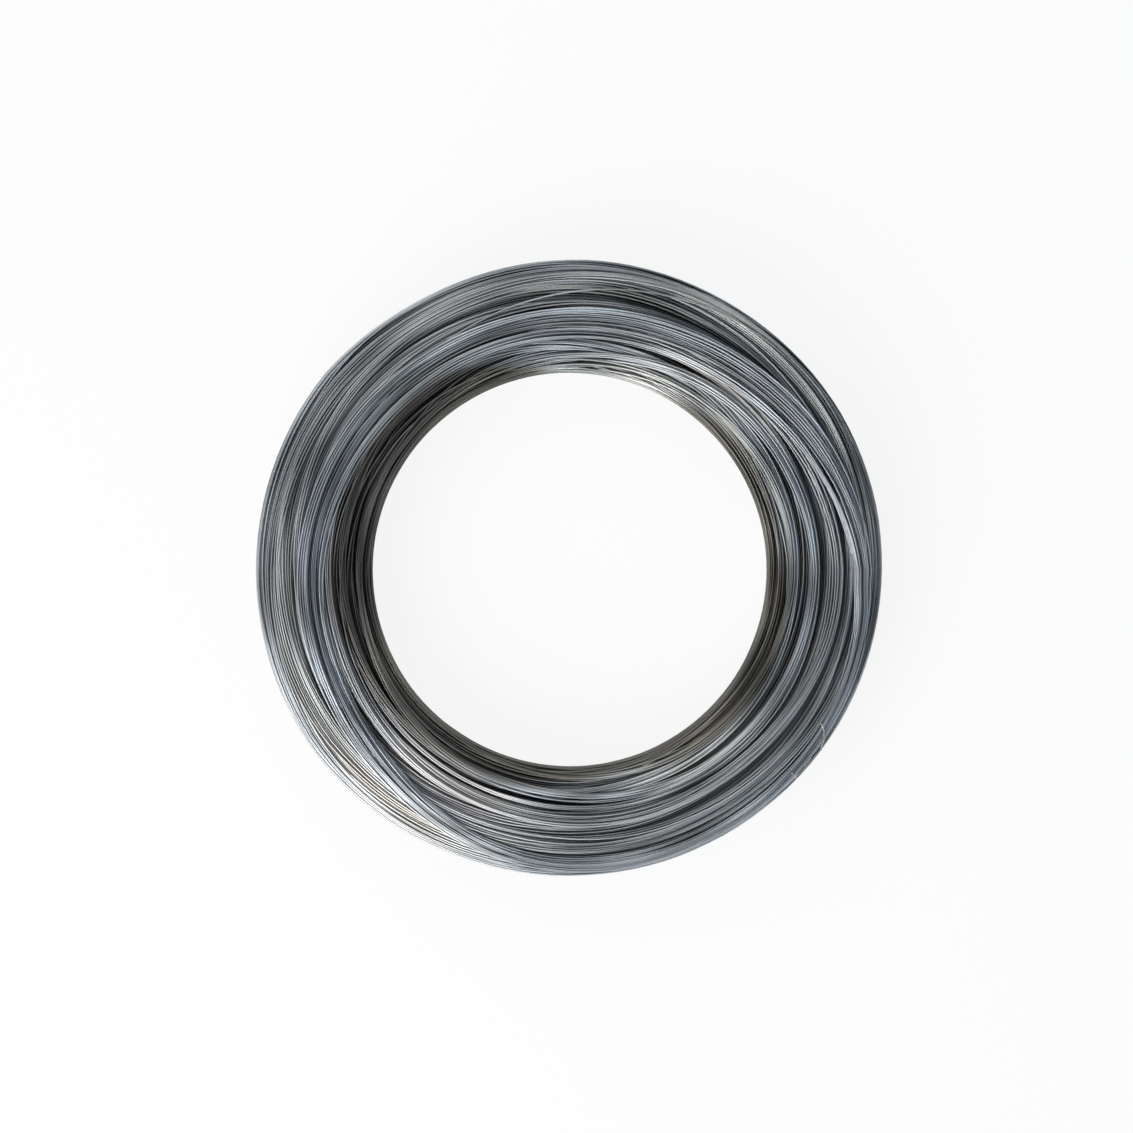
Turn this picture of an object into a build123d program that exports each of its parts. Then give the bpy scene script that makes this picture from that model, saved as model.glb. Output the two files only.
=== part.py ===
from build123d import *
from itertools import accumulate, pairwise
import os

# Coil of galvanised steel wire, lying flat on the floor as it came off the winding mandrel.
# The origin is on the floor at the centre of the bore, and +Z is up along the bore.
# The coil is one length of wire, so it is one turned solid. Its turns lie side by side in
# bands, which show as flat-topped ridges on both ends and round the outside of the coil.

# Driving dimensions, in millimetres
wire_diameter = 1.2
bore_diameter = 250.0  # the mandrel that the first turns were wound on
winding_depth = 72.5  # from the bore to the outermost turns
coil_height = 78.0
crown_rise = 12.0  # how far the middle of the upper end stands above its two edges
inner_shoulder_radius = 24.0
outer_shoulder_radius = 26.0
groove_depth = 2 * wire_diameter  # between two bands a layer shows that lies two wires lower

# The highest point of the upper end, as a share of the winding depth from the bore
summit_share = 0.5

# Widths of the bands of turns, as shares of one another, in the order that they lie: from
# the bore outwards under the lower end, up the outside, and back over the upper end
lower_band_shares = (1.5, 1.4, 1.45, 1.5, 1.4, 1.45, 1.5)
outside_band_shares = (1.25, 1.35, 0.9)
edge_band_share = 1.4  # the band that the end of the wire is turned over
upper_band_shares = (0.7, 0.83, 1.1, 1.4, 0.85, 0.95, 0.95, 0.95)

# Where the flat crest of a band begins and ends, as shares of the width of that band
crest_shares = (0.15, 0.85)

# The end of the wire is turned twice over the edge band, to hold it. Each turn goes into the
# outer groove at its first angle round the bore and into the inner groove at its second.
end_turn_angles = ((323.8, 328.2), (317.5, 317.5))
end_turn_sides = 8  # a wire as thin as this needs no truly round section

bore_radius = bore_diameter / 2
outer_radius = bore_radius + winding_depth
edge_height = coil_height - crown_rise
wire_radius = wire_diameter / 2

# Section that every band just touches: the bore wall, a crowned upper end, an upright
# outside and a flat lower end, with rounded shoulders where the turns pile up less high
with BuildSketch() as section:
    with BuildLine():
        ThreePointArc(
            (bore_radius, edge_height),
            (bore_radius + summit_share * winding_depth, coil_height),
            (outer_radius, edge_height),
        )
        Polyline(
            (outer_radius, edge_height),
            (outer_radius, 0),
            (bore_radius, 0),
            (bore_radius, edge_height),
        )
    make_face()
    fillet(section.vertices().group_by(Axis.X)[0], inner_shoulder_radius)
    fillet(section.vertices().group_by(Axis.X)[-1], outer_shoulder_radius)

# The path round the section that the bands lie on, from the foot of the bore wall to its top
bore_wall = section.edges().filter_by(Axis.Y).sort_by(Axis.X)[0]
banded_path = Wire([edge for edge in section.edges() if edge != bore_wall])

# Where the grooves are, as shares of that path
band_shares = (*lower_band_shares, *outside_band_shares, edge_band_share, *upper_band_shares)
groove_shares = [reach / sum(band_shares) for reach in accumulate(band_shares, initial=0)]
edge_band = len(lower_band_shares) + len(outside_band_shares)


def point_off_path(share, height):
    """Point of the section at a share of the banded path, at a height outwards from it."""
    along = banded_path.tangent_at(share)
    return banded_path.position_at(share) + Vector(along.Y, -along.X) * height


def groove_point(share):
    """Bottom of the groove at a share of the banded path, whose two ends meet the bore wall."""
    return point_off_path(share, -groove_depth if 0 < share < 1 else 0)


def around_bore(section_point, angle):
    """Point of the coil for a point of the section, at an angle round the bore."""
    return Vector(section_point.X, 0, section_point.Y).rotate(Axis.Z, angle)


# The coil
with BuildPart() as wire_coil:
    # Wound body: the section with its bands, closed by the bore wall, turned about the bore
    outline = []
    for start, end in pairwise(groove_shares):
        outline.append(groove_point(start))
        for crest_share in crest_shares:
            outline.append(point_off_path(start + crest_share * (end - start), 0))
    outline.append(groove_point(1))
    with BuildSketch(Plane.XZ):
        with BuildLine():
            Polyline(*outline, close=True)
        make_face()
    revolve(axis=Axis.Z)

    # End of the wire: two turns over the crest of the edge band, tucked in below its grooves
    outer_share, inner_share = groove_shares[edge_band : edge_band + 2]
    tuck_depth = groove_depth + wire_diameter
    for outer_angle, inner_angle in end_turn_angles:
        with BuildLine() as end_turn:
            ThreePointArc(
                around_bore(point_off_path(outer_share, -tuck_depth), outer_angle),
                around_bore(
                    point_off_path((outer_share + inner_share) / 2, wire_radius),
                    (outer_angle + inner_angle) / 2,
                ),
                around_bore(point_off_path(inner_share, -tuck_depth), inner_angle),
            )
        with BuildSketch(end_turn.line ^ 0):
            RegularPolygon(wire_radius, side_count=end_turn_sides)
        sweep(path=end_turn.line)

wire_coil.part.label = "wire_coil"

os.makedirs("parts", exist_ok=True)
export_step(wire_coil.part, "parts/wire_coil.step")
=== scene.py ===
# %% [markdown]
# # A coil of galvanised wire
# One long steel wire, wound on itself into a ring, lies on a white floor and is seen from
# straight above. Every turn is too thin for the solid model to carry, so this lesson winds
# the wire for real: turn after turn is laid on the turns below it, and each one becomes a
# thin tube. The solid model says how far out the turns may reach.

import math

import bpy
import numpy as np
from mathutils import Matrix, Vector, geometry


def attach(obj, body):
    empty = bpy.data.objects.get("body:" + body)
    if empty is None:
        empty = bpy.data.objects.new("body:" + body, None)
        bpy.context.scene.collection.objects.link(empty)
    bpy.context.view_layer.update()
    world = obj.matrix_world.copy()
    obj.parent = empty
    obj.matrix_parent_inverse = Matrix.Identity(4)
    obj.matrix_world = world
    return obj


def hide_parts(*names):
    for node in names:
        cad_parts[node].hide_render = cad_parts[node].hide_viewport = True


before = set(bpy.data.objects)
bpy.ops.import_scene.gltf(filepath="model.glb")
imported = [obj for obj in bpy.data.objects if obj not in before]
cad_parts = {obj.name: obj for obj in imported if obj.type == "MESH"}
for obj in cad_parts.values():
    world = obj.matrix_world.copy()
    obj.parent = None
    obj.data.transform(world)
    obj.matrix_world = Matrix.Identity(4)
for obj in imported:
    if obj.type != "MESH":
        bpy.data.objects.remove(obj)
bpy.ops.object.select_all(action="DESELECT")
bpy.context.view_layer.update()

# %% [markdown]
# ## The section that the turns may fill
# Cut through the ring and the turns fill a rounded block: a straight wall at the bore, round
# shoulders, a crowned top and an upright outside. The outline could be typed in again, but
# the solid already has it. All its corners are folded on to one half-plane, as distance from
# the axis and height, and the line stretched round them is the section.

# %% Section outline
MM = 0.001  # the frame is in metres
wire_diameter = 1.2 * MM
wire_radius = wire_diameter / 2
corner_share = 1.08  # a six-sided tube's corners stand out, so that it is as thick as the wire
tube_radius = corner_share * wire_radius

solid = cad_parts["wire_coil"].data
corners = np.array([vertex.co for vertex in solid.vertices])
plain_side = corners[corners[:, 0] < 0]  # away from the end of the wire
folded = [Vector((math.hypot(x, y), z)) for x, y, z in plain_side]
hull = np.array([folded[i] for i in geometry.convex_hull_2d(folded)])
bore_radius = hull[:, 0].min()
outer_radius = hull[:, 0].max()
winding_depth = outer_radius - bore_radius
coil_height = hull[:, 1].max()
print(f"bore {bore_radius:.4f}, outside {outer_radius:.4f}, height {coil_height:.4f} m")

# %% [markdown]
# ## A ruler round the section
# A place on the section is given by one number, the way along its outline: from the middle
# of the bore wall, up over the top, down the outside and back underneath. The outline is cut
# into small equal steps and smoothed a little, so that it has no corners, and moved in by
# half a wire, so that a wire with its middle on the line just touches the solid's face.

# %% Even steps along the section
ruler_step = 0.2 * MM
corner_rounding = 24  # steps to each side


def smoothed(values, reach, edge):
    """Average of each value and its neighbours, the near ones counting most."""
    window = np.hanning(2 * reach + 3)[1:-1]
    padded = np.pad(values, reach, mode=edge)
    return np.convolve(padded, window / window.sum(), mode="valid")


around = np.arctan2(hull[:, 1] - coil_height / 2, hull[:, 0] - bore_radius - winding_depth / 2)
hull = hull[np.argsort(np.mod(np.pi - around, 2 * np.pi))]  # clockwise from the bore wall
start = np.array([bore_radius, coil_height / 2])
ring = np.vstack([start, hull, start])
reach_along = np.append(0, np.cumsum(np.hypot(*np.diff(ring, axis=0).T)))
step_count = round(reach_along[-1] / ruler_step)
marks = np.arange(step_count) * reach_along[-1] / step_count
section_r = smoothed(np.interp(marks, reach_along, ring[:, 0]), corner_rounding, "wrap")
section_z = smoothed(np.interp(marks, reach_along, ring[:, 1]), corner_rounding, "wrap")

along_r = np.roll(section_r, -1) - np.roll(section_r, 1)
along_z = np.roll(section_z, -1) - np.roll(section_z, 1)
along = np.hypot(along_r, along_z)
out_r, out_z = -along_z / along, along_r / along
section_r = section_r - out_r * tube_radius
section_z = section_z - out_z * tube_radius
ruler_length = step_count * ruler_step
print(f"{step_count} steps round the section, {ruler_length:.4f} m")

# %% [markdown]
# ## Where a turn lies, seen from above
# The turns are placed by what is seen from above: how far from the bore's centre each band of
# turns runs. From the bore to the outside that distance only grows, so it can be turned into
# a place on the ruler. Below the two edges the ruler simply goes on down the walls.

# %% From a distance to a place on the ruler
upper_half = np.arange(step_count // 2)
edge_margin = 0.3 * MM
on_top = upper_half[
    (section_r[upper_half] > bore_radius + wire_radius + edge_margin)
    & (section_r[upper_half] < outer_radius - wire_radius - edge_margin)
    & (section_z[upper_half] > coil_height / 2)
]
top_depths = (section_r[on_top] - bore_radius) / winding_depth


def place_at(depth_share):
    """Place on the ruler for a share of the way from the bore to the outside, on top."""
    inside = np.interp(depth_share, top_depths, on_top * ruler_step)
    below_bore = np.minimum(depth_share - top_depths[0], 0) * winding_depth
    below_outside = np.maximum(depth_share - top_depths[-1], 0) * winding_depth
    return inside + below_bore + below_outside


print(f"middle of the top at {place_at(0.5):.4f} m on the ruler")

# %% [markdown]
# ## The outline of the coil
# A coil that was taken off its mandrel isn't quite round. The bore keeps the shape of the
# mandrel, but the outside bulges here and is pressed in there. The bulges are given as shares
# of the full outer radius, one for every 30 degrees, with a smooth line through them.

# %% Stations round the coil and its outer radius
station_count = 120  # points on one turn
station_angles = np.arange(station_count) * 2 * np.pi / station_count
outline_shares = (
    (0.998, 1.0, 0.99, 0.988, 0.985, 1.006)  # the upper half of the picture
    + (1.008, 1.002, 0.985, 0.978, 0.98, 0.991)  # the lower half
)


def all_round(values):
    """Smooth closed line through values given at equal angles, one for each station."""
    count = len(values)
    waves = np.fft.rfft(values)
    padded = np.zeros(station_count // 2 + 1, complex)
    padded[: len(waves)] = waves
    padded[count // 2] /= 2  # the shortest wave stands for two
    return np.fft.irfft(padded, station_count) * station_count / count


outline = np.minimum(all_round(outline_shares), 1) * outer_radius
stretch = (outline - bore_radius) / winding_depth
print(f"outer radius from {outline.min():.4f} to {outline.max():.4f} m")

# %% [markdown]
# ## The camera
# The photograph looks straight down from far away. The camera hangs 2.5 m over the floor
# with a long lens, so that the bore is as large as in the photograph, and a little to one
# side, because the bore isn't quite in the middle of the picture.

# %% Camera
picture_size = 1133  # pixels
bore_pixels = 196.5  # radius of the bore in the picture
bore_middle_pixels = (569.5, 569.5)
camera_height = 2.5
bore_wall_foot = 24 * MM  # the narrowest part of the bore, which the camera sees first
sensor_width = 36.0

bpy.ops.object.camera_add()
camera = bpy.context.object
pixels_per_radian = bore_pixels * (camera_height - bore_wall_foot) / bore_radius
camera.data.sensor_width = sensor_width
camera.data.lens = sensor_width * pixels_per_radian / picture_size
pixel_at_bore = bore_radius / bore_pixels
camera.location = (
    (picture_size / 2 - bore_middle_pixels[0]) * pixel_at_bore,
    (bore_middle_pixels[1] - picture_size / 2) * pixel_at_bore,
    camera_height,
)
bpy.context.scene.camera = camera
print(f"lens {camera.data.lens:.1f} mm at", tuple(camera.location))

# %% [markdown]
# ## Bands of turns
# The wire isn't laid evenly. The winder's guide dwells, and a handful of turns lie side by
# side as a band before the next band starts elsewhere, so dark grooves open between them.
# First an even bed of turns goes all round the section, then bands in two rounds, the second
# over the gaps of the first and off centre. Every band drifts sideways in its own way.

# %% A slow drift round the coil
chance = np.random.default_rng(7)
slow_waves = ((1, 1.0), (2, 0.6), (3, 0.45), (4, 0.3))  # waves round the coil, share of each
usual_drift = 1.6  # of these waves added up


def wander(size, wave_shares=slow_waves):
    """A slow sideways drift round the coil, different for every band."""
    drift = np.zeros(station_count)
    for waves, share in wave_shares:
        phase = chance.uniform(0, 2 * np.pi)
        drift += share * chance.normal() * np.cos(waves * station_angles + phase)
    return size * drift / usual_drift


# %% Bed and bands all round
turn_pitch = 1.26 * MM
bed_overlap = 0.4  # turns
band_spacing = 6.2 * MM
band_turns = (3.0, 4.6)  # fewest and most turns side by side
band_layers = (1.3, 1.8)
band_wander = 2.2 * MM
band_fanning = 0.2  # how much a band opens and closes round the coil
closed_side = math.radians(165)  # here the bands are wide and close the grooves
closing = 0.2
spread_limits = (0.7, 1.5)
lean_side = math.radians(350)  # the second round was wound off centre, out on this side
lean_scatter = 0.3  # radians
lean = 8 * MM
lean_shares = (0.6, 1.2)
bands = []  # kind, turns in all, turns side by side, place and spread at each station

bed_turns = ruler_length / turn_pitch + bed_overlap
bed_middle = np.full(station_count, ruler_length / 2)
bands.append(("bed", bed_turns, bed_turns, bed_middle, np.ones(station_count)))

band_count = 2 * round(ruler_length / band_spacing / 2)
for i in [*range(0, band_count, 2), *range(band_count - 1, 0, -2)]:
    share = (i + 0.5) / band_count
    across = chance.uniform(*band_turns)
    layers = chance.uniform(*band_layers)
    middle = ruler_length * (1 + share) + wander(band_wander)
    if i % 2:
        off_centre = lean * chance.uniform(*lean_shares)
        towards = lean_side + chance.normal(0, lean_scatter)
        middle = middle + off_centre * np.cos(station_angles - towards)
    spread = 1 + closing * np.cos(station_angles - closed_side) + wander(band_fanning)
    spread = np.clip(spread, *spread_limits)
    bands.append(("round", across * layers, across, middle, spread))
print(len(bands), "bands in the bed and the two rounds")

# %% [markdown]
# ## The bands on top
# The last bands to be wound lie on top and give this coil its look: they run aslant, from the
# bore at the upper right out to the rim on the right, and over each other at the lower left.
# They are placed from the photograph, by the radius of each at every 30 degrees. All but the
# very last also wander in short waves, so that the gaps between them open and close.

# %% Bands that show on top: turns in all, turns side by side, radius in the picture
crest_height = 75 * MM  # about where the turns on top lie
pixel_on_top = (camera_height - crest_height) / pixels_per_radian
top_bands = (
    (8, 6, (216, 214, 217, 226, 232, 230, 225, 222, 222, 220, 218, 217)),
    (7, 5, (243, 236, 223, 211, 207, 207, 209, 213, 220, 227, 235, 241)),
    (7, 5, (221, 218, 211, 204, 203, 203, 203, 203, 204, 207, 212, 218)),
    (8, 6, (267, 256, 242, 234, 232, 234, 238, 241, 246, 251, 258, 265)),
    (4, 3, (284, 288, 291, 290, 284, 278, 272, 270, 268, 270, 276, 280)),
    (6, 4, (309, 307, 302, 297, 290, 292, 298, 298, 292, 297, 302, 307)),
    (15, 15, (294, 270, 253, 245, 244, 248, 257, 262, 280, 300, 302, 303)),
)
top_spreads = (0.9, 1.2, 1.2, 1.1, 1.0, 1.0, 0.9, 0.85, 0.65, 0.55, 0.5, 0.6)
least_spread = 0.95  # of all but the last band
end_leaves = 320  # degrees, where the end of the wire leaves the last turn
bend_reach = 8  # stations over which a band bends, because the wire is stiff
top_wander = 1.3 * MM  # the last band doesn't wander
short_waves = ((3, 0.8), (4, 0.8), (5, 0.6), (6, 0.4))
for i, (turns, across, radii) in enumerate(top_bands):
    depth_share = (all_round(radii) * pixel_on_top - bore_radius) / (winding_depth * stretch)
    middle = ruler_length + smoothed(place_at(depth_share), bend_reach, "wrap")
    spread = all_round(top_spreads)
    if i < len(top_bands) - 1:
        middle = middle + wander(top_wander, short_waves)
        spread = np.maximum(spread, least_spread)
    else:  # the last band goes on until the end of the wire leaves it
        turns += (end_leaves / 360 - turns - sum(band[1] for band in bands)) % 1
    bands.append(("top", turns, across, middle, spread))
print(sum(turns for _, turns, *_ in bands), "turns in all")

# %% [markdown]
# ## The route of the wire
# The wire is one length, so the bands are strung together: where one ends the wire swings
# over to the next in half a turn. Each turn also strays a little by itself, because
# steel wire springs back and never lies quite straight beside its neighbour.

# %% One route through all the bands
swing_turns = 0.5
swing_stations = round(swing_turns * station_count)
stray_waves = ((1.17, 0.5), (2.23, 0.4), (3.37, 0.25), (5.41, 0.12))  # waves a turn, mm
ends = np.cumsum([round(turns * station_count) for _, turns, *_ in bands])
point_count = ends[-1]
points = np.arange(point_count)
at_station = points % station_count


def band_route(index):
    """Place on the ruler along one band, which goes to and fro across its width."""
    _, turns, across, middle, spread = bands[index]
    begin = ends[index] - round(turns * station_count)
    done = np.clip((points - begin) / station_count, -swing_turns, turns + swing_turns)
    to_and_fro = np.abs((done + across) % (2 * across) - across)
    return middle[at_station] + (to_and_fro - across / 2) * spread[at_station] * turn_pitch


route = band_route(0)
for i in range(1, len(bands)):
    change = np.clip((points - ends[i - 1]) / swing_stations + 0.5, 0, 1)
    change = change * change * (3 - 2 * change)
    route = route + change * (band_route(i) - route)

for waves, size in stray_waves:
    phase = chance.uniform(0, 2 * np.pi)
    route = route + size * MM * np.sin(2 * np.pi * waves * points / station_count + phase)
print(point_count, "points along the wire")

# %% [markdown]
# ## Laying the turns
# Now the wire is laid. A height map over the ruler and the stations holds, for every place,
# how high the middle of a new wire would come to lie there. A turn slides a little into the
# valleys between the turns below it, spans the hollows that it is too stiff to follow, rises
# and falls gently, and then raises the map: a wire beside it nests lower, and one across it
# climbs over it.

# %% Laying
slide_limit = 0.5 * MM
probe = 0.4 * MM
slide_rate = 0.35
slide_rounds = 4
slide_easing = 4  # stations to each side
bridge_reach = 3  # stations that the wire spans
easing_reach = 7  # stations over which it rises and falls
join_stations = 20
nest_steps = int(wire_diameter / ruler_step)
rest_height = np.zeros((station_count, step_count))
stations = np.arange(station_count)
join = np.clip(1 - stations / join_stations, 0, 1)
join = join * join * (3 - 2 * join)


def height_at(place):
    """Height at which a wire would rest, read between the marks of the ruler."""
    mark = place / ruler_step
    below = np.floor(mark).astype(int)
    part = mark - below
    low = rest_height[stations, below % step_count]
    high = rest_height[stations, (below + 1) % step_count]
    return low + part * (high - low)


def settled(wanted):
    """A turn's place after it has slid into the valleys below it."""
    place = wanted.copy()
    for _ in range(slide_rounds):
        slope = height_at(place + probe) - height_at(place - probe)
        place = place - np.clip(slide_rate * slope, -probe, probe)
        place = smoothed(place, slide_easing, "reflect")
    return wanted + np.clip(place - wanted, -slide_limit, slide_limit)


def bridged(height):
    """A turn's height where the stiff wire spans the hollows below it."""
    padded = np.pad(height, bridge_reach, mode="edge")
    highest = np.lib.stride_tricks.sliding_window_view(padded, 2 * bridge_reach + 1).max(1)
    return smoothed(highest, easing_reach, "edge")


def raise_map(place, height):
    """Marks a laid turn in the height map: later wires go over it."""
    nearest = np.rint(place / ruler_step).astype(int)
    offsets = np.arange(-nest_steps, nest_steps + 1)
    columns = nearest[:, None] + offsets
    beside = columns * ruler_step - place[:, None]
    over = height[:, None] + np.sqrt(np.maximum(wire_diameter**2 - beside**2, 0))
    over = np.where(np.abs(beside) < wire_diameter, over, 0)
    rows, columns = stations[:, None], columns % step_count
    rest_height[rows, columns] = np.maximum(rest_height[rows, columns], over)


turn_count = math.ceil(point_count / station_count)
route = np.pad(route, (0, turn_count * station_count - point_count), mode="edge")
places, heights = [], []
for turn in range(turn_count):
    place = settled(route[turn * station_count : (turn + 1) * station_count])
    height = bridged(height_at(place))
    if turn > 0:
        place = place + join * (places[-1][-1] - place[0])
        height = height + join * (heights[-1][-1] - height[0])
    raise_map(place, height)
    places.append(place)
    heights.append(height)
places = np.concatenate(places)[:point_count]
heights = np.concatenate(heights)[:point_count]
print(f"{turn_count} turns, piled up to {heights.max():.4f} m")

# %% [markdown]
# ## Fitting the pile to the solid
# The pile is higher where more bands cross. Along the ruler its highest turns are brought
# just under the solid's face, with a smooth line through them, so that the coil keeps its
# size. On the bore wall and the outside this is done side by side all round, because these
# make the outline of the coil; on top the high bands stay higher than their neighbours.

# %% Fitting
fit_marks = 64
fit_sectors = 24
side_easing = 2  # marks, and sectors, to each side
top_easing = (4, 3)  # marks and sectors to each side
top_play = 1.2 * MM  # on top the highest bands stand out from their neighbours
wire_station = np.arange(point_count) % station_count
fit_mark = (places / ruler_length * fit_marks).astype(int) % fit_marks
fit_sector = wire_station * fit_sectors // station_count
side_crests = np.zeros((fit_sectors, fit_marks))
np.maximum.at(side_crests, (fit_sector, fit_mark), heights)
side_crests = np.apply_along_axis(smoothed, 1, side_crests, side_easing, "wrap")
side_crests = np.apply_along_axis(smoothed, 0, side_crests, side_easing, "wrap")
top_crests = np.apply_along_axis(smoothed, 1, side_crests, top_easing[0], "wrap")
top_crests = np.apply_along_axis(smoothed, 0, top_crests, top_easing[1], "wrap") + top_play


def crest_at(place, angle):
    """Height of the finished pile's crest at places on the ruler and angles round the coil."""
    wallness = np.interp(place % ruler_length, np.arange(step_count) * ruler_step, out_r**2)
    across = place / ruler_length * fit_marks - 0.5
    about = angle / (2 * np.pi) * fit_sectors - 0.5
    mark, sector = np.floor(across).astype(int), np.floor(about).astype(int)
    across, about = across - mark, about - sector
    crest = 0
    for mark_step, mark_share in ((0, 1 - across), (1, across)):
        for sector_step, sector_share in ((0, 1 - about), (1, about)):
            cell = (sector + sector_step) % fit_sectors, (mark + mark_step) % fit_marks
            level = top_crests[cell] + wallness * (side_crests[cell] - top_crests[cell])
            crest = crest + mark_share * sector_share * level
    return crest


wire_angle = np.arange(point_count) * 2 * np.pi / station_count
drops = np.minimum(heights - crest_at(places, wire_angle), 0)
print(f"turns lie up to {-drops.min() / MM:.2f} mm below the solid's face")

# %% [markdown]
# ## Tubes
# Each stretch of wire becomes a six-sided tube with smooth shading: at this thickness nobody
# sees the corners. An Array modifier or a bevelled curve could make tubes too, but more than
# three hundred thousand faces are best joined straight from arrays, ring after ring. The wire
# is cut into five stretches so that no mesh grows too large, and the edges of their caps are
# sharp, so that the shading runs on from one stretch to the next. Each stretch has a map of
# its own, on which every turn is a strip.

# %% Middle line of the wire
mark = places / ruler_step
below = np.floor(mark).astype(int)
part = mark - below


def along_ruler(values):
    """Values of the section at each point of the wire."""
    low, high = values[below % step_count], values[(below + 1) % step_count]
    return low + part * (high - low)


wire_r = along_ruler(section_r) + along_ruler(out_r) * drops
wire_z = along_ruler(section_z) + along_ruler(out_z) * drops
wire_r = bore_radius + (wire_r - bore_radius) * stretch[wire_station]
print(f"wire from {wire_r.min():.4f} to {wire_r.max():.4f} m away from the axis")

# %% Rings, faces and a map for one stretch of tube
tube_sides = 6
side_angles = np.arange(tube_sides) * 2 * np.pi / tube_sides
sides = np.arange(tube_sides)


def tube_faces(ring_count):
    """Quads between the rings of a tube, and a cap at each end."""
    ring = np.arange(ring_count - 1)[:, None] * tube_sides
    after = (sides + 1) % tube_sides
    corners = [ring + sides, ring + sides + tube_sides, ring + after + tube_sides, ring + after]
    caps = [sides.tolist(), ((ring_count - 1) * tube_sides + sides[::-1]).tolist()]
    return np.stack(corners, 2).reshape(-1, 4).tolist() + caps


def tube_map(first, ring_count):
    """Every turn as one strip of the map, its sides one above the other, and the caps on top."""
    point = first + np.arange(ring_count - 1)[:, None]
    strips = (point[-1, 0] // station_count) - first // station_count + 2
    left = (point % station_count) / station_count + 0 * sides
    low = (point // station_count - first // station_count + sides / tube_sides) / strips
    right, high = left + 1 / station_count, low + 1 / tube_sides / strips
    quads = np.stack([left, low, right, low, right, high, left, high], 2).ravel()
    cap = np.column_stack([np.cos(side_angles) + 1, np.sin(side_angles) + 1]) / 2
    cap = cap / strips + (0, 1 - 1 / strips)
    return np.concatenate([quads, cap.ravel(), (cap[::-1] + (2 / strips, 0)).ravel()])


# %% Stretches of tube
stretch_count = 5
cuts = np.linspace(0, point_count - 1, stretch_count + 1).astype(int)


def add_tube(name, vertices, faces):
    """A new object at the origin with that mesh, smooth but for the edges of its two caps."""
    mesh = bpy.data.meshes.new(name)
    mesh.from_pydata(vertices, [], faces)
    mesh.shade_smooth()
    for cap in mesh.polygons[-2:]:
        for corner in cap.loop_indices:
            mesh.edges[mesh.loops[corner].edge_index].use_edge_sharp = True
    piece = bpy.data.objects.new(name, mesh)
    bpy.context.collection.objects.link(piece)
    return piece


coil_pieces = []
for i in range(stretch_count):
    run = slice(cuts[i], cuts[i + 1] + 1)
    ring_r = wire_r[run, None] + tube_radius * np.cos(side_angles)
    ring_z = wire_z[run, None] + tube_radius * np.sin(side_angles)
    angle = wire_angle[run, None]
    rings = np.stack([ring_r * np.cos(angle), ring_r * np.sin(angle), ring_z], 2)
    piece = add_tube(f"wound_turns_{i + 1}", rings.reshape(-1, 3), tube_faces(len(rings)))
    strip_map = piece.data.uv_layers.new(name="OFBake")
    strip_map.uv.foreach_set("vector", tube_map(cuts[i], len(rings)))
    coil_pieces.append(piece)
    print(piece.name, len(piece.data.polygons), "faces")

# %% [markdown]
# ## The turns underneath
# Between two bands the eye falls on turns that lie deeper still. They are never seen whole,
# so they are one spun body just below the bed, nearly black: a painted shade of the deep turns.

# %% Buried turns
buried_gap = 0.6 * wire_radius  # below the lowest turn's middle
buried_spacing = 10  # steps of the ruler
spin_steps = 96
merge_distance = wire_radius / 10

buried_depth = drops.min() - buried_gap
buried_marks = np.arange(0, step_count, buried_spacing)
buried_r = section_r[buried_marks] + out_r[buried_marks] * buried_depth
buried_z = section_z[buried_marks] + out_z[buried_marks] * buried_depth
buried_r = bore_radius + (buried_r - bore_radius) * stretch.min()
profile = [(r, 0, z) for r, z in zip(buried_r, buried_z)]
profile_edges = [(i, (i + 1) % len(profile)) for i in range(len(profile))]

# %% Spinning them
mesh = bpy.data.meshes.new("buried_turns")
mesh.from_pydata(profile, profile_edges, [])
buried_turns = bpy.data.objects.new("buried_turns", mesh)
bpy.context.collection.objects.link(buried_turns)
bpy.context.view_layer.objects.active = buried_turns
buried_turns.select_set(True)
bpy.ops.object.mode_set(mode="EDIT")
bpy.ops.mesh.select_all(action="SELECT")
bpy.ops.mesh.spin(steps=spin_steps, angle=2 * math.pi, center=(0, 0, 0), axis=(0, 0, 1))
bpy.ops.mesh.select_all(action="SELECT")
bpy.ops.mesh.remove_doubles(threshold=merge_distance)
bpy.ops.mesh.normals_make_consistent(inside=False)
bpy.ops.object.mode_set(mode="OBJECT")
bpy.ops.object.shade_smooth()
buried_turns.select_set(False)
coil_pieces.append(buried_turns)
print("buried turns", len(buried_turns.data.polygons), "faces")

# %% [markdown]
# ## The end of the wire
# The last turn slips in between its neighbours, and the end of the wire is then turned twice
# over the outermost turns, so that the coil can't spring open. It lies on top of the pile, so
# its height is read from the same height map, and it dives between the bands where it goes
# under them. A bevelled curve makes the round wire.

# %% Route of the end, as degrees, place on the ruler and wire diameters below the pile
def on_top_at(depth_share):
    """Place on top for a share of the way from the bore to the outside."""
    return ruler_length + place_at(depth_share)


end_turns = (
    (  # the last turn slips in between its neighbours
        (end_leaves, places[-1], 1),
        (end_leaves + 1, places[-1], 1),
        (end_leaves + 2, places[-1] + wire_diameter, 1.5),
        (end_leaves + 4, places[-1] + 3 * wire_diameter, 4),
    ),
    (  # the first turn over the rim
        (321.2, on_top_at(1.1), 3),
        (322.0, on_top_at(1.05), 0.5),
        (322.9, on_top_at(1.0), 0),
        (324.2, on_top_at(0.98), 0),
        (326.1, on_top_at(0.935), 0),
        (328.2, on_top_at(0.865), 0.5),
        (329, on_top_at(0.82), 3),
    ),
    (  # the second turn over the rim
        (316.2, on_top_at(1.11), 3),
        (316.8, on_top_at(1.06), 0.5),
        (317.4, on_top_at(1.0), 0),
        (317.5, on_top_at(0.96), 0),
        (317.5, on_top_at(0.925), 0.5),
        (317.6, on_top_at(0.89), 3),
    ),
)
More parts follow.
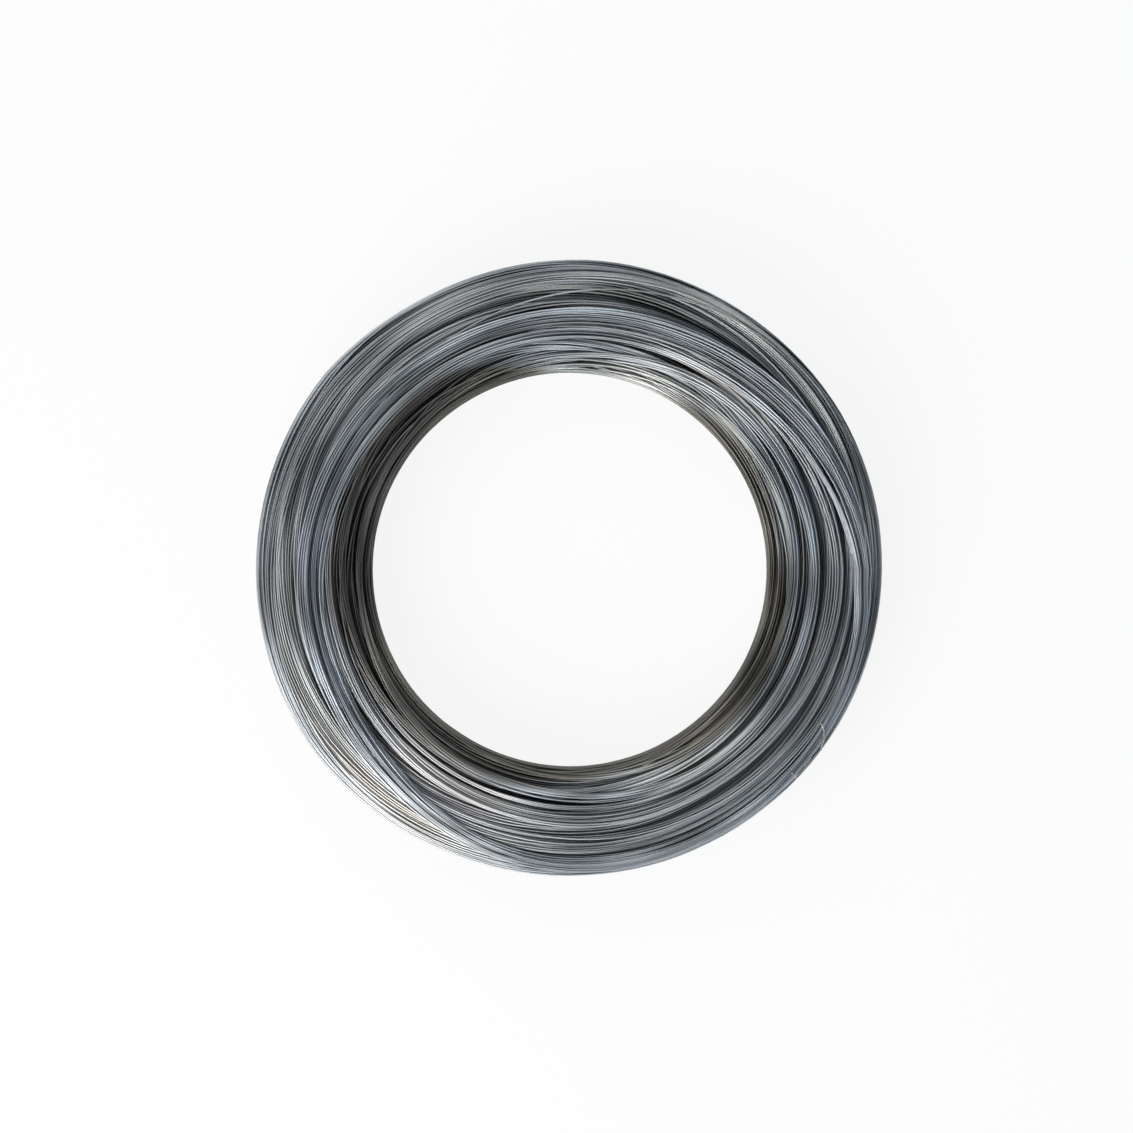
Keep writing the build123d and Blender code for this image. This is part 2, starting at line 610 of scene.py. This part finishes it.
end_steps = 48
end_easing = 4  # steps to each side


def pile_height(angle, place):
    """Height at which one more wire would rest on the finished pile."""
    station = np.rint(angle / 360 * station_count).astype(int) % station_count
    return rest_height[station, np.rint(place / ruler_step).astype(int) % step_count]


# %% End of the wire
end_curve = bpy.data.curves.new("wire_end", "CURVE")
end_curve.dimensions = "3D"
end_curve.bevel_depth = wire_radius
end_curve.bevel_resolution = 2
end_curve.use_fill_caps = True
for stops in end_turns:
    steps = np.linspace(0, len(stops) - 1, end_steps)
    tracks = [np.interp(steps, range(len(stops)), values) for values in zip(*stops)]
    angle, place, dip = [smoothed(track, end_easing, "edge") for track in tracks]
    height = smoothed(pile_height(angle, place), end_easing, "edge") - wire_diameter
    mark = np.rint(place / ruler_step).astype(int) % step_count
    drop = np.minimum(height - crest_at(place, np.radians(angle)), 0)
    rise = drop + (1 - dip) * wire_diameter
    bulge = np.interp(angle, np.degrees(station_angles), stretch)
    end_r = bore_radius + (section_r[mark] + out_r[mark] * rise - bore_radius) * bulge
    end_z = section_z[mark] + out_z[mark] * rise
    turn = end_curve.splines.new("POLY")
    turn.points.add(end_steps - 1)
    for point, r, z, a in zip(turn.points, end_r, end_z, np.radians(angle)):
        point.co = (r * math.cos(a), r * math.sin(a), z, 1)
wire_end = bpy.data.objects.new("wire_end", end_curve)
bpy.context.collection.objects.link(wire_end)
bpy.context.view_layer.objects.active = wire_end
wire_end.select_set(True)
bpy.ops.object.convert(target="MESH")
bpy.ops.object.shade_smooth()
wire_end = bpy.context.object
wire_end.select_set(False)
coil_pieces.append(wire_end)
print("wire end", len(wire_end.data.polygons), "faces")

# %% [markdown]
# ## Finish
# Galvanised wire is steel with a thin coat of zinc: a satin metal, a little blue where it is
# fresh. The turns near the bore are painted dark brown, a painted shade of the inner shoulder
# that reaches furthest on the left side, and the bed is painted darker, a painted shade of the
# deep turns. A texture can't follow one wire through all its turns, so the colour is worked
# out along the wire and kept on its mesh as an attribute that the material reads.

# %% Fresh turns and painted shade near the bore
fresh_zinc = np.array((0.415, 0.427, 0.428))
# painted shade: the turns near the bore are dark brown, furthest out on the left side
bore_shade_brown = np.array((0.18, 0.168, 0.15))
bore_shade_depths = (0.13, 0.12, 0.0, -0.05, 0.26, 0.3, 0.34, 0.28, 0.24, 0.12, 0.12, 0.26)
bore_shade_fade = 0.1  # share of the winding depth over which brown gives way to grey
# painted shade: the bed turns, seen at the bottom of the grooves, are darker
bed_painted_shade = 0.45

wire_band = np.searchsorted(ends, np.arange(len(places)), side="right")
wire_turn = np.arange(len(places)) // station_count
kinds = np.array([kind for kind, *_ in bands])[wire_band]
depth = (wire_r - bore_radius) / (winding_depth * stretch[wire_station])
grey = np.clip((depth - all_round(bore_shade_depths)[wire_station]) / bore_shade_fade + 0.5, 0, 1)
colour = bore_shade_brown + (fresh_zinc - bore_shade_brown) * grey[:, None]
print(f"{np.mean(grey < 0.5):.0%} of the wire is brown")

# %% [markdown]
# ## Lighter and darker turns
# No two turns are alike. Each turn has its own shade, which it shares in part with the turns
# next to it, so that the eye sees strokes a few wires wide, and each band has its own tint.

# %% Shades of turns and bands
own_shade, shared_shade, sharing_turns = 0.06, 0.19, 2
shade_limits = (0.6, 1.35)
band_contrast = 0.08
tints = np.array(((0.96, 0.99, 1.04), (0.98, 1.0, 1.0), (1.0, 0.985, 1.02), (1.01, 1.0, 0.98)))

turn_shades = chance.normal(0, 1, turn_count)
shared = smoothed(turn_shades, sharing_turns, "wrap")
turn_shades = 1 + own_shade * turn_shades + shared_shade * shared
turn_shade = turn_shades.clip(*shade_limits)[wire_turn]
band_shade = chance.normal(1, band_contrast, len(bands))[wire_band]
band_tint = tints[chance.integers(0, len(tints), len(bands))][wire_band]
print(f"turns from {turn_shades.min():.2f} to {turn_shades.max():.2f} times as light")

# %% [markdown]
# ## Dull patches, painted highlights and painted shade
# Zinc also dulls in patches, longer along the wire than across it. They are a sum of waves.
# Painted highlights and painted shade are set at places where the photograph has them, such
# as the painted highlights on the fan of turns at the upper right and on the rim at the lower
# left, and the painted shade beside the fan.

# %% Patches
patch_waves = 14
patch_width = 8 * MM
patch_counts = (4, 18)  # fewest waves round the coil, and one more than the most
patch_strength = 0.15
# painted highlights where a spot is lighter, painted shade where it is darker
painted_light_spots = (  # degrees, radius in the picture, how much lighter
    (0, 205, 0.5), (0, 221, -0.3), (30, 298, -0.2),
    (56, 234, 0.45), (68, 205, 0.4), (56, 302, 0.3), (62, 278, -0.55),
    (150, 262, -0.2), (150, 290, -0.25), (182, 202, -0.6),
    (208, 205, 0.6), (240, 240, 0.6), (222, 298, 0.3), (242, 300, 0.45),
    (272, 235, -0.25), (272, 285, -0.25), (300, 224, 0.8), (318, 245, 0.3),
)
patch_angle, patch_radius = math.radians(16), 13  # how far they reach, in radians and pixels

patch = np.zeros(point_count)
for _ in range(patch_waves):
    waves_round = chance.integers(*patch_counts)
    waves_across = chance.uniform(-1, 1) / patch_width
    phase = chance.uniform(0, 2 * np.pi)
    patch += np.cos(waves_round * wire_angle + 2 * np.pi * waves_across * places + phase)
patch = 1 + patch_strength * patch / math.sqrt(patch_waves / 2)

seen_radius = wire_r * pixels_per_radian / (camera_height - wire_z)
# painted highlight and painted shade at each point of the wire
painted_light_and_shade = np.ones(point_count)
for angle, radius, lighter in painted_light_spots:
    away = np.angle(np.exp(1j * (wire_angle - math.radians(angle)))) / patch_angle
    aside = (seen_radius - radius) / patch_radius
    painted_light_and_shade = painted_light_and_shade * (1 + lighter * np.exp(-(away**2) - aside**2))
print(f"patches from {patch.min():.2f} to {patch.max():.2f} times as light")

# %% [markdown]
# ## The colour of each point
# All of this is multiplied. The rim is painted darker at the upper right, a painted shade, and
# lighter at the lower right, the painted highlights are less blue, and the last turn is lighter.

# %% Colour along the wire
# painted shade: the rim turns are darker at the upper right, and lighter at the lower right
rim_painted_shade = (0.35, 0.5, 0.8, 0.6, 1.1, 0.9, 0.9, 0.9, 1.0, 1.0, 1.3, 1.4)
rim_begins = 0.93  # share of the winding depth
last_turn_shade = 1.5
painted_light_and_shade_tint = np.array((0.12, 0, -0.12))
most_painted_light_and_shade = 0.45

shade = turn_shade * band_shade * patch * painted_light_and_shade * np.where(kinds == "bed", bed_painted_shade, 1)
rim = np.clip((depth - rim_begins) / (1 - rim_begins), 0, 1)
shade = shade * (1 + rim * (all_round(rim_painted_shade)[wire_station] - 1))
shade[-station_count:] *= last_turn_shade
# the painted highlights are made less blue
painted_highlight_warmth = 1 + np.clip(painted_light_and_shade - 1, 0, most_painted_light_and_shade)[:, None] * painted_light_and_shade_tint
colour = colour * band_tint * painted_highlight_warmth * shade[:, None]
print("mean colour", colour.mean(axis=0).round(3))

for i in range(stretch_count):
    run = slice(cuts[i], cuts[i + 1] + 1)
    ring_colour = np.ones((cuts[i + 1] + 1 - cuts[i], tube_sides, 4))
    ring_colour[:, :, :3] = colour[run, None]
    layer = coil_pieces[i].data.attributes.new("zinc_colour", "FLOAT_COLOR", "POINT")
    layer.data.foreach_set("color", ring_colour.ravel())

# %% [markdown]
# ## Zinc
# The wound turns read their colour from the attribute. The turns underneath and the turned
# end are small or hidden, so a noise on their own coordinates mottles them. The turns
# underneath are nearly black, a painted shade of the deep coil.

# %% Zinc of the wound turns
zinc = bpy.data.materials.new("zinc")
zinc.use_nodes = True
nodes, links = zinc.node_tree.nodes, zinc.node_tree.links
surface = nodes["Principled BSDF"]
surface.inputs["Metallic"].default_value = 1.0
surface.inputs["Roughness"].default_value = 0.43
along_wire = nodes.new("ShaderNodeAttribute")
along_wire.attribute_name = "zinc_colour"
links.new(along_wire.outputs["Color"], surface.inputs["Base Color"])
for piece in coil_pieces[:stretch_count]:
    piece.data.materials.append(zinc)

# %% Shaded turns and turned end
def mottled_zinc(name, dull, bright, patch_size, roughness):
    """Zinc whose colour goes from dull to bright in patches of about that size."""
    material = bpy.data.materials.new(name)
    material.use_nodes = True
    nodes, links = material.node_tree.nodes, material.node_tree.links
    surface = nodes["Principled BSDF"]
    surface.inputs["Metallic"].default_value = 1.0
    surface.inputs["Roughness"].default_value = roughness
    where = nodes.new("ShaderNodeTexCoord")
    mottle = nodes.new("ShaderNodeTexNoise")
    mottle.inputs["Scale"].default_value = 1 / patch_size
    ramp = nodes.new("ShaderNodeValToRGB")
    stops = ramp.color_ramp.elements
    stops[0].position, stops[0].color = 0.35, dull
    stops[1].position, stops[1].color = 0.65, bright
    links.new(where.outputs["Object"], mottle.inputs["Vector"])
    links.new(mottle.outputs["Fac"], ramp.inputs["Fac"])
    links.new(ramp.outputs["Color"], surface.inputs["Base Color"])
    return material


# painted shade: the buried turns are nearly black zinc
shaded = mottled_zinc("shaded_zinc", (0.02, 0.02, 0.02, 1), (0.05, 0.05, 0.047, 1), 6 * MM, 0.6)
buried_turns.data.materials.append(shaded)
turned = mottled_zinc("turned_zinc", (0.36, 0.36, 0.35, 1), (0.48, 0.48, 0.48, 1), 2 * MM, 0.35)
wire_end.data.materials.clear()
wire_end.data.materials.append(turned)
print("finishes:", zinc.name, shaded.name, turned.name)

# %% [markdown]
# ## Joining the frame
# Every piece stands for the one solid of the coil and moves with its one body.

# %% Frame
for piece in coil_pieces:
    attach(piece, "root")
    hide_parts("wire_coil")
print(len(coil_pieces), "pieces stand for the coil")

# %% [markdown]
# ## Floor and backdrop
# The coil lies on white paper. A white floor that is only lit comes out grey, so its material
# mixes in a plain white that the camera and the shiny wire see, and keeps a little of the lit
# paper for the coil's shadow. A low wall far behind makes the horizon white too.

# %% Floor
floor_size = 120
white_share = 0.88  # of the plain white
bpy.ops.mesh.primitive_plane_add(size=floor_size, location=(0, 0, 0))
floor = bpy.context.object
floor.name = "floor"

# %% Paper
paper = bpy.data.materials.new("paper")
paper.use_nodes = True
nodes, links = paper.node_tree.nodes, paper.node_tree.links
sheet = nodes["Principled BSDF"]
sheet.inputs["Base Color"].default_value = (0.9, 0.9, 0.9, 1)
sheet.inputs["Roughness"].default_value = 1.0
sheet.inputs["Specular IOR Level"].default_value = 0.0
glow = nodes.new("ShaderNodeEmission")
glow.inputs["Color"].default_value = (1, 1, 1, 1)
glow.inputs["Strength"].default_value = 1.0
seen = nodes.new("ShaderNodeLightPath")
either = nodes.new("ShaderNodeMath")
either.operation = "MAXIMUM"
links.new(seen.outputs["Is Camera Ray"], either.inputs[0])
links.new(seen.outputs["Is Glossy Ray"], either.inputs[1])
any_of = nodes.new("ShaderNodeMath")
any_of.operation = "MAXIMUM"
links.new(either.outputs[0], any_of.inputs[0])
links.new(seen.outputs["Is Transmission Ray"], any_of.inputs[1])
share = nodes.new("ShaderNodeMath")
share.operation = "MULTIPLY"
share.inputs[1].default_value = white_share
links.new(any_of.outputs[0], share.inputs[0])
blend = nodes.new("ShaderNodeMixShader")
links.new(share.outputs[0], blend.inputs[0])
links.new(sheet.outputs[0], blend.inputs[1])
links.new(glow.outputs[0], blend.inputs[2])
links.new(blend.outputs[0], nodes["Material Output"].inputs["Surface"])
floor.data.materials.append(paper)
print("paper on a floor", floor_size, "m wide")

# %% Backdrop
wall_distance, wall_height = 24.0, 4.0
bpy.ops.mesh.primitive_cylinder_add(
    vertices=64,
    radius=wall_distance,
    depth=wall_height,
    end_fill_type="NOTHING",
    location=(0, 0, wall_height / 2),
)
backdrop = bpy.context.object
backdrop.name = "backdrop"
backdrop.data.materials.append(paper)
print("backdrop", wall_height, "m high")

# %% [markdown]
# ## Light
# A large soft lamp shines from the lower left of the picture, a weaker one from the upper
# left, both a little warm, and a pale blue sky fills the shade. Large lamps give the thin
# wires broad, quiet highlights.

# %% Light
lamp_distance = 2
sky_colour, sky_strength = (0.66, 0.83, 1, 1), 0.3
world = bpy.data.worlds.new("studio")
bpy.context.scene.world = world
world.use_nodes = True
world.node_tree.nodes["Background"].inputs["Color"].default_value = sky_colour
world.node_tree.nodes["Background"].inputs["Strength"].default_value = sky_strength


def add_lamp(name, azimuth, elevation, size, power, colour):
    """A square soft lamp above the floor, turned towards the coil."""
    a, e = math.radians(azimuth), math.radians(elevation)
    way = Vector((math.cos(e) * math.cos(a), math.cos(e) * math.sin(a), math.sin(e)))
    bpy.ops.object.light_add(type="AREA", location=lamp_distance * way)
    lamp = bpy.context.object
    lamp.name = name
    lamp.rotation_euler = (-way).to_track_quat("-Z", "Y").to_euler()
    lamp.data.size = size
    lamp.data.energy = power
    lamp.data.color = colour
    print(name, power, "W")


add_lamp("key_lamp", 230, 46, 1.6, 36, (1, 0.97, 0.93))
add_lamp("fill_lamp", 118, 50, 1.4, 11, (1, 0.96, 0.89))

bpy.context.scene.view_settings.view_transform = "Standard"
